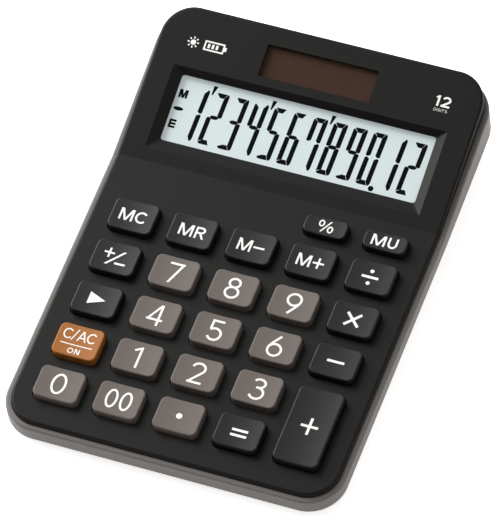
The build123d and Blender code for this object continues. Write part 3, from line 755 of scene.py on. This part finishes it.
clear_word = (
    letter("C", -5.3, 0.15, -2.45, 3.7, 0.44)
    + slant(-2.35, 0.0, -0.95, 3.9, 0.34)
    + letter("A", -0.75, 0.15, 2.15, 3.7, 0.42)
    + letter("C", 2.2, 0.15, 5.0, 3.7, 0.44)
    + bar(-5.1, -1.45, 4.9, -1.45, 0.34)
    + letter("O", -2.1, -4.4, -0.25, -2.55, 0.32)
    + letter("N", 0.15, -4.4, 1.75, -2.55, 0.32)
)
SIGNS = {
    "memory_clear": memory(letter("C", 0.6, LETTER_LOW, 4.15, LETTER_HIGH, LETTER_PEN)),
    "memory_recall": memory(letter("R", 0.95, LETTER_LOW, 4.0, LETTER_HIGH, LETTER_PEN), shift=0.2),
    "memory_minus": memory(bar(0.6, -0.1, 4.1, -0.1, LETTER_PEN)),
    "memory_plus": memory(
        bar(0.55, -0.1, 4.1, -0.1, LETTER_PEN) + bar(2.3, -1.95, 2.3, 1.75, LETTER_PEN), shift=-0.1
    ),
    "mark_up": memory(letter("U", 0.8, -1.85, 3.8, 1.8, LETTER_PEN), -1.85, 1.8, shift=0.05),
    "percent": stroke(arc(-1.5, 0.9, 0.7, 0.95, 0, 360), 0.45)
    + stroke(arc(1.58, -0.75, 0.7, 0.98, 0, 360), 0.45)
    + slant(-1.15, -2.0, 1.25, 2.0, 0.42),
    "divide": bar(-2.85, -0.2, 2.35, -0.2, SIGN_PEN)
    + disc(-0.25, 1.9, 0.62)
    + disc(-0.25, -2.3, 0.62),
    "multiply": bar(-2.3, 1.95, 2.1, -2.4, 0.85) + bar(-2.3, -2.4, 2.1, 1.95, 0.85),
    "minus": bar(-2.65, 0.0, 2.7, 0.0, SIGN_PEN),
    "plus": bar(-2.45, 0.0, 2.9, 0.0, SIGN_PEN) + bar(0.22, -2.85, 0.22, 2.9, SIGN_PEN),
    "equals": bar(-2.35, 0.52, 2.65, 0.52, SIGN_PEN) + bar(-2.35, -1.25, 2.65, -1.25, SIGN_PEN),
    "sign": bar(-3.85, 1.25, -0.6, 1.25, 0.6)
    + bar(-2.22, -0.4, -2.22, 2.9, 0.6)
    + slant(-2.3, -2.8, 2.45, 2.4, 0.6)
    + bar(0.4, -1.95, 3.75, -1.95, 0.66),
    "backspace": [[(-2.6, -2.05), (2.75, 0.07), (-2.6, 2.15)]],
    "clear_on": clear_word,
}
LEGENDS = {**FIGURES, **SIGNS}
print("legends:", len(LEGENDS), "keys:", sum(1 for name in nodes if name.startswith("key_")) - 1)

# %% [markdown]
# ## From flat patches to ink
# The patches of one mark are handed to the triangulation as faces. It returns the mesh of all of them
# together, and says which patch each triangle came from, so the holes inside an O can be left out. The
# top copy stands proud, the lower copy sits in the plastic, and walls join them all round.


# %% Join patches and drop them on a surface
def joined(patches):
    """The outline of all patches together, as points and triangles."""
    points, faces = [], []
    for patch in patches:
        corners = [Vector(point) for point in patch]
        turn = sum(a.x * b.y - b.x * a.y for a, b in zip(corners, corners[1:] + corners[:1]))
        corners = corners if turn > 0 else corners[::-1]
        faces.append(list(range(len(points), len(points) + len(corners))))
        points += corners
    flat, _, triangles, _, _, origins = delaunay_2d_cdt(points, [], faces, 1, 1e-5)
    return flat, [triangle for triangle, origin in zip(triangles, origins) if origin]


LOOK_DOWN_FROM = 20 * MM


def lay_on(face, node, origin):
    """A function that takes a flat point in mm to the surface of a node under it, and lifts it."""
    surface = nodes[node].data
    tree = BVHTree.FromPolygons(
        [vertex.co for vertex in surface.vertices], [list(p.vertices) for p in surface.polygons]
    )

    def place(point, lift):
        over = origin + face.right * point[0] * MM + face.slope * point[1] * MM
        hit = tree.ray_cast(over + face.normal * LOOK_DOWN_FROM, -face.normal)[0]
        if hit is None:
            raise ValueError(f"a mark on {node} runs off its edge")
        return hit + face.normal * lift * MM

    return place


def film(name, patches, place, rise, sink, material):
    """A closed film over the patches, whose top stands proud by rise and whose base sinks in, in mm."""
    flat, triangles = joined(patches)
    shape = bmesh.new()
    top = [shape.verts.new(place(point, rise)) for point in flat]
    base = [shape.verts.new(place(point, -sink)) for point in flat]
    rims = {}
    for triangle in triangles:
        shape.faces.new([top[i] for i in triangle])
        shape.faces.new([base[i] for i in reversed(triangle)])
        for a, b in zip(triangle, (*triangle[1:], triangle[0])):
            if rims.pop((b, a), None) is None:
                rims[(a, b)] = True
    for a, b in rims:
        shape.faces.new((top[b], top[a], base[a], base[b]))
    loose = [vertex for vertex in shape.verts if not vertex.link_faces]
    bmesh.ops.delete(shape, geom=loose, context="VERTS")
    mesh = bpy.data.meshes.new(name)
    shape.to_mesh(mesh)
    shape.free()
    mesh.materials.append(material)
    piece = bpy.data.objects.new(name, mesh)
    bpy.context.scene.collection.objects.link(piece)
    return piece


# %% [markdown]
# ## The white ink
# Pad-printing ink is a thin acrylic paint, a warm white with a slightly uneven coat. Its surface is
# glossier than the grained cap under it, so it catches a little more light.

# %% Print the legends
INK_RISE, INK_SINK = 0.03, 0.03
print_ink = small_part("pad_printing_ink", "#eeece7", "#fbfaf7", 0.8, (0.35, 0.5), depth=0.004)
for name, patches in LEGENDS.items():
    key = f"key_{name}"
    place = lay_on(keyboard, key, keyboard.middle(key))
    legend = film(f"legend_{name}", patches, place, INK_RISE, INK_SINK, print_ink)
    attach(legend, key)
print("legend pieces:", len(LEGENDS))

# %% [markdown]
# ## The display
# A digit is made of seven transparent electrodes. The ones that are switched on go dark. Their ends are
# cut on the slant so that neighbours meet in a fine light line, and the whole digit leans 3 degrees.
# They are drawn once as polygons and repeated for each place, which is how the glass maker draws them.

# %% Seven segments of one digit, in mm from its lower left corner
DIGIT_W, DIGIT_H, MIDDLE_H, BAR = 4.5, 17.0, 9.0, 1.5
LEAN = 0.0454


def mirrored(patch):
    return [(DIGIT_W - x, y) for x, y in patch]


def upper_end(tip):
    """An upper post: its end at the middle is the same on both sides, and its tip is not."""
    foot = [(BAR, MIDDLE_H + 0.65), (0.75, MIDDLE_H + 0.12), (0.2, MIDDLE_H + 0.2), (0.0, MIDDLE_H + 0.55)]
    return foot + tip


def lower_end(tip):
    """A lower post, the same way."""
    head = [(0.0, MIDDLE_H - 0.55), (0.2, MIDDLE_H - 0.2), (0.75, MIDDLE_H - 0.12), (BAR, MIDDLE_H - 0.65)]
    return head + tip


left_top = [(0.0, DIGIT_H - 1.0), (0.12, DIGIT_H - 0.6), (0.36, DIGIT_H - 0.4), (BAR, DIGIT_H - 1.38)]
right_top = [(0.0, DIGIT_H - 0.9), (0.12, DIGIT_H - 0.3), (0.4, DIGIT_H)]
right_top += [(0.62, DIGIT_H), (BAR, DIGIT_H - 1.35)]
left_bottom = [(BAR, 1.38), (0.0, 0.87)]
right_bottom = [(BAR, 1.35), (0.8, 0.05), (0.55, 0.0), (0.15, 0.35), (0.0, 1.0)]
top_bar = [
    (0.5, DIGIT_H - 0.25),
    (0.8, DIGIT_H),
    (3.72, DIGIT_H),
    (2.86, DIGIT_H - BAR),
    (1.64, DIGIT_H - BAR),
]
foot_bar = [(0.08, 0.66), (0.3, 0.25), (0.75, 0.0), (3.6, 0.0), (2.84, BAR), (1.66, BAR)]
half_middle = [(0.8, 0.0), (1.15, 0.38), (1.65, 0.62), (DIGIT_W - 1.65, 0.62), (DIGIT_W - 1.15, 0.38)]
middle_bar = [(x, MIDDLE_H + y) for x, y in half_middle]
middle_bar += [(DIGIT_W - x, MIDDLE_H - y) for x, y in half_middle]
SEGMENTS = {
    "a": top_bar,
    "b": mirrored(upper_end(right_top)),
    "c": mirrored(lower_end(right_bottom)),
    "d": foot_bar,
    "e": lower_end(left_bottom),
    "f": upper_end(left_top),
    "g": middle_bar,
}
LIT = {
    "0": "abcdef",
    "1": "bc",
    "2": "abdeg",
    "3": "abcdg",
    "4": "bcfg",
    "5": "acdfg",
    "6": "acdefg",
    "7": "abcf",
    "8": "abcdefg",
    "9": "abcdfg",
}

# %% Twelve digits, the point, the apostrophes and the signs at the left
SHOWN = "123456789012"
DIGIT_PITCH = 6.35
FIRST_LEFT = -42.71
DIGITS_LOW = -8.7
APOSTROPHE_AFTER = (1, 4, 7)
digit_patches = []
for number, figure in enumerate(SHOWN, start=1):
    left = FIRST_LEFT + number * DIGIT_PITCH
    for segment in LIT[figure]:
        patch = [(left + x + LEAN * y, DIGITS_LOW + y) for x, y in SEGMENTS[segment]]
        digit_patches.append(patch)
sign_patches = disc(26.1, -9.25, 0.88)
for number in APOSTROPHE_AFTER:
    left = FIRST_LEFT + (number + 1) * DIGIT_PITCH
    wedge = [(left - 0.5, 10.1), (left - 0.5, 7.1), (left - 0.1, 7.1), (left + 0.85, 10.1)]
    sign_patches.append(wedge)
sign_patches += letter("M", -40.3, 3.95, -37.55, 6.7, 0.68)
sign_patches += letter("E", -40.35, -6.0, -38.15, -3.2, 0.68)
sign_patches += [arc(-38.95, 0.4, 1.6, 0.62, 0, 345)]
window_middle = display.middle("display_lens")
on_glass = lay_on(display, "lcd_cell", window_middle)
SEGMENT_RISE, SEGMENT_SINK = 0.02, 0.02
for name, patches in (("lcd_digits", digit_patches), ("lcd_signs", sign_patches)):
    segments = film(name, patches, on_glass, SEGMENT_RISE, SEGMENT_SINK, lcd_segment)
    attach(segments, "case")
    print(name, "faces:", len(segments.data.polygons))

# %% [markdown]
# ## Marks on the panel
# The panel carries two plain printed marks beside the solar window: at the right the number of digits,
# at the left a sun and a battery, the usual signs for two power sources.

# %% Number of digits, sun and battery
solar_middle = display.middle("solar_window")
SMALL_PEN = 0.11
marks = []
marks += bar(38.15, -0.95, 38.15, 2.5, 0.66) + bar(37.3, 1.75, 38.2, 2.25, 0.5)
marks += stroke([*arc(40.65, 1.35, 1.05, 0.87, 165, -30), (39.5, -0.62)], 0.62)
marks += bar(39.2, -0.64, 41.95, -0.64, 0.62)
word_left, letter_w, gap = 37.5, 0.7, 0.24
for name in "DIGITS":
    width = SMALL_PEN if name == "I" else letter_w
    marks += letter(name, word_left, -2.55, word_left + width, -1.6, SMALL_PEN)
    word_left += width + gap
SUN_X, SUN_R, RAY_IN, RAY_OUT = -40.4, 0.85, 1.2, 1.85
marks += disc(SUN_X, 0.1, SUN_R)
for turn in range(8):
    angle = turn * pi / 4
    inner = (SUN_X + RAY_IN * cos(angle), 0.1 + RAY_IN * sin(angle))
    outer = (SUN_X + RAY_OUT * cos(angle), 0.1 + RAY_OUT * sin(angle))
    marks += bar(*inner, *outer, 0.4)
BATTERY = (-36.6, -1.25, -30.6, 1.45)
left, low, right, high = BATTERY
marks += stroke([(left, low), (right, low), (right, high), (left, high), (left, low)], 0.5)
marks += bar(right, 0.1, right + 0.95, 0.1, 1.3)
for offset in (1.3, 2.6, 3.9):
    marks += bar(left + offset, low + 0.65, left + offset, high - 0.65, 0.75)
on_panel = lay_on(display, "front_case", solar_middle)
panel_marks = film("panel_marks", marks, on_panel, INK_RISE, INK_SINK, print_ink)
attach(panel_marks, "case")
print("panel marks faces:", len(panel_marks.data.polygons))

# %% [markdown]
# ## The rubber mat
# Under the keys lies one moulding of silicone rubber with a dome for every key. The CAD holds it as a
# rigid solid at rest, but a pressed key flattens its dome. So the mat becomes a flat sheet and a turned
# dome for each key, and all of them stay with the case.

# %% Mat sheet and domes
SHEET_T, DOME_R, DOME_TIP_R = 0.6 * MM, 3.2 * MM, 2.1 * MM
DOME_WALL = 0.35 * MM
TURNS = 32
mat_along = [vertex.co for vertex in nodes["key_mat"].data.vertices]
mat_low = min(corner.dot(keyboard.normal) for corner in mat_along)
mat_high = max(corner.dot(keyboard.normal) for corner in mat_along)
slopes = [corner.dot(keyboard.slope) for corner in mat_along]
across = [corner.x for corner in mat_along]
sheet_top = mat_low + SHEET_T
dome_h = mat_high - sheet_top
print("mat sheet to dome tip in mm:", round(dome_h / MM, 2))


def turned(name, middle, profile, material):
    """A closed ring of revolution about the keyboard normal; the profile is (radius, height) in metres."""
    shape = bmesh.new()
    rings = []
    for radius, height in profile:
        ring = []
        for i in range(TURNS):
            angle = 2 * pi * i / TURNS
            out = keyboard.right * cos(angle) + keyboard.slope * sin(angle)
            ring.append(shape.verts.new(middle + out * radius + keyboard.normal * height))
        rings.append(ring)
    for below, above in zip(rings, rings[1:] + rings[:1]):
        for i in range(TURNS):
            j = (i + 1) % TURNS
            shape.faces.new((below[i], below[j], above[j], above[i]))
    bmesh.ops.recalc_face_normals(shape, faces=shape.faces)
    mesh = bpy.data.meshes.new(name)
    shape.to_mesh(mesh)
    shape.free()
    mesh.materials.append(material)
    piece = bpy.data.objects.new(name, mesh)
    bpy.context.scene.collection.objects.link(piece)
    return piece


silicone = SMALL_PARTS["silicone"]
sheet_patch = [
    (min(across), min(slopes)),
    (max(across), min(slopes)),
    (max(across), max(slopes)),
    (min(across), max(slopes)),
]
shape = bmesh.new()
levels = []
for level in (mat_low, sheet_top):
    ring = [
        shape.verts.new(keyboard.right * x + keyboard.slope * y + keyboard.normal * level)
        for x, y in sheet_patch
    ]
    levels.append(ring)
shape.faces.new(levels[0][::-1])
shape.faces.new(levels[1])
for i in range(4):
    j = (i + 1) % 4
    shape.faces.new((levels[0][i], levels[0][j], levels[1][j], levels[1][i]))
mesh = bpy.data.meshes.new("mat_sheet")
shape.to_mesh(mesh)
shape.free()
mesh.materials.append(silicone)
mat_sheet = bpy.data.objects.new("mat_sheet", mesh)
bpy.context.scene.collection.objects.link(mat_sheet)
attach(mat_sheet, "case")
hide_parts("key_mat")
DOME_PROFILE = [
    (DOME_R, 0.0),
    (DOME_R * 0.9, dome_h * 0.45),
    (DOME_TIP_R, dome_h * 0.8),
    (DOME_TIP_R * 0.92, dome_h),
    (DOME_TIP_R * 0.4, dome_h),
    (DOME_TIP_R * 0.4, dome_h - DOME_WALL),
    (DOME_TIP_R - DOME_WALL, dome_h * 0.8 - DOME_WALL),
    (DOME_R * 0.9 - DOME_WALL, dome_h * 0.45 - DOME_WALL / 2),
    (DOME_R - DOME_WALL, 0.0),
]
for name in LEGENDS:
    centre = keyboard.middle(f"key_{name}")
    foot = centre + keyboard.normal * (sheet_top - centre.dot(keyboard.normal))
    dome = turned(f"mat_dome_{name}", foot, DOME_PROFILE, silicone)
    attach(dome, "case")
    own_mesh(dome)
print("domes:", len(LEGENDS))

# %% [markdown]
# ## Floor, light and camera
# The object stands on a pale seamless sweep that is lit from behind, so it stays white right up to the
# case. One large soft box stands low at the back left. From there the flat tops don't mirror it, which
# keeps the black plastic black, while the left edge of every cap turns far enough to catch a thin line
# of light. An even pale world fills the shadows; it is dim, because black plastic mirrors about 4% of
# it. A second lamp at the front would flatten the slopes of the bezel, so a black board stands there
# instead. The camera is far away with a long lens, which keeps the two sides of the case nearly
# parallel.

# %% Floor
FLOOR_HALF = 1.6
BACKLIGHT = 0.7
paper = small_part("backlit_sweep", "#f3f3f2", "#f8f8f7", 3.0, (0.85, 0.95), depth=0.002)
sweep = next(n for n in paper.node_tree.nodes if n.type == "BSDF_PRINCIPLED")
sweep.inputs["Emission Color"].default_value = (1, 1, 1, 1)
sweep.inputs["Emission Strength"].default_value = BACKLIGHT
floor_mesh = bpy.data.meshes.new("floor")
corners = [(-FLOOR_HALF, -FLOOR_HALF, 0), (FLOOR_HALF, -FLOOR_HALF, 0)]
corners += [(FLOOR_HALF, FLOOR_HALF, 0), (-FLOOR_HALF, FLOOR_HALF, 0)]
floor_mesh.from_pydata(corners, [], [(0, 1, 2, 3)])
floor_mesh.materials.append(paper)
floor = bpy.data.objects.new("floor", floor_mesh)
bpy.context.scene.collection.objects.link(floor)

# %% Light
WORLD_STRENGTH = 0.55
world = bpy.data.worlds.new("soft_room")
world.use_nodes = True
bpy.context.scene.world = world
world.node_tree.nodes["Background"].inputs["Color"].default_value = (1, 1, 1, 1)
world.node_tree.nodes["Background"].inputs["Strength"].default_value = WORLD_STRENGTH
bpy.context.scene.view_settings.view_transform = "Standard"
centre = (cad_box[0] + cad_box[1]) / 2


def direction(azimuth, elevation):
    """A unit vector from the object: azimuth 0 is the front, 90 the right, both in degrees."""
    a, e = radians(azimuth), radians(elevation)
    return Vector((sin(a) * cos(e), -cos(a) * cos(e), sin(e)))


def soft_box(name, azimuth, elevation, distance, size, power):
    """A square area light that faces the object."""
    lamp = bpy.data.lights.new(name, "AREA")
    lamp.size = size
    lamp.energy = power
    box = bpy.data.objects.new(name, lamp)
    way = direction(azimuth, elevation)
    box.location = centre + way * distance
    box.rotation_euler = way.to_track_quat("Z", "Y").to_euler()
    bpy.context.scene.collection.objects.link(box)
    print(name, "at", [round(value, 2) for value in box.location])


soft_box("back_left_soft_box", -114, 33, 1.3, 1.0, 26)

# %% Black board
# It stands in front of the object and keeps the front walls and the upper bezel slope dark. It shows in
# reflections and shadows only: the camera never sees it, from any side.
FLAG_FRONT, FLAG_HALF, FLAG_HEIGHT, FLAG_LIFT = -0.42, 0.6, 0.4, 0.001
felt = small_part("black_felt", "#050505", "#080808", 2.0, (0.9, 0.98), depth=0.01)
flag_mesh = bpy.data.meshes.new("black_flag")
flag_corners = [(-FLAG_HALF, FLAG_FRONT, FLAG_LIFT), (FLAG_HALF, FLAG_FRONT, FLAG_LIFT)]
flag_corners += [(FLAG_HALF, FLAG_FRONT, FLAG_HEIGHT), (-FLAG_HALF, FLAG_FRONT, FLAG_HEIGHT)]
flag_mesh.from_pydata(flag_corners, [], [(0, 1, 2, 3)])
flag_mesh.materials.append(felt)
flag = bpy.data.objects.new("black_flag", flag_mesh)
flag.visible_camera = False
bpy.context.scene.collection.objects.link(flag)
print("black board:", 2 * FLAG_HALF, "by", FLAG_HEIGHT, "m, at y", FLAG_FRONT)

# %% Camera
CAMERA_AZIMUTH, CAMERA_ELEVATION, CAMERA_ROLL = 28.27, 54.09, -9.10
CAMERA_DISTANCE, LENS, SENSOR = 1.7745, 418.04, 36.0
AIM_RIGHT, AIM_BACK, AIM_HEIGHT = 0.2 * MM, -0.3 * MM, 12.87 * MM
aim = Vector((centre.x + AIM_RIGHT, centre.y + AIM_BACK, AIM_HEIGHT))
way = direction(CAMERA_AZIMUTH, CAMERA_ELEVATION)
lens = bpy.data.cameras.new("camera")
lens.lens = LENS
lens.sensor_width = SENSOR
lens.clip_start = 0.05
lens.clip_end = 20
camera = bpy.data.objects.new("camera", lens)
camera.location = aim + way * CAMERA_DISTANCE
level = way.to_track_quat("Z", "Y")
rolled = level @ Quaternion((0, 0, 1), radians(CAMERA_ROLL))
camera.rotation_euler = rolled.to_euler()
bpy.context.scene.collection.objects.link(camera)
bpy.context.scene.camera = camera
print("camera right:", [round(value, 4) for value in rolled @ Vector((1, 0, 0))])
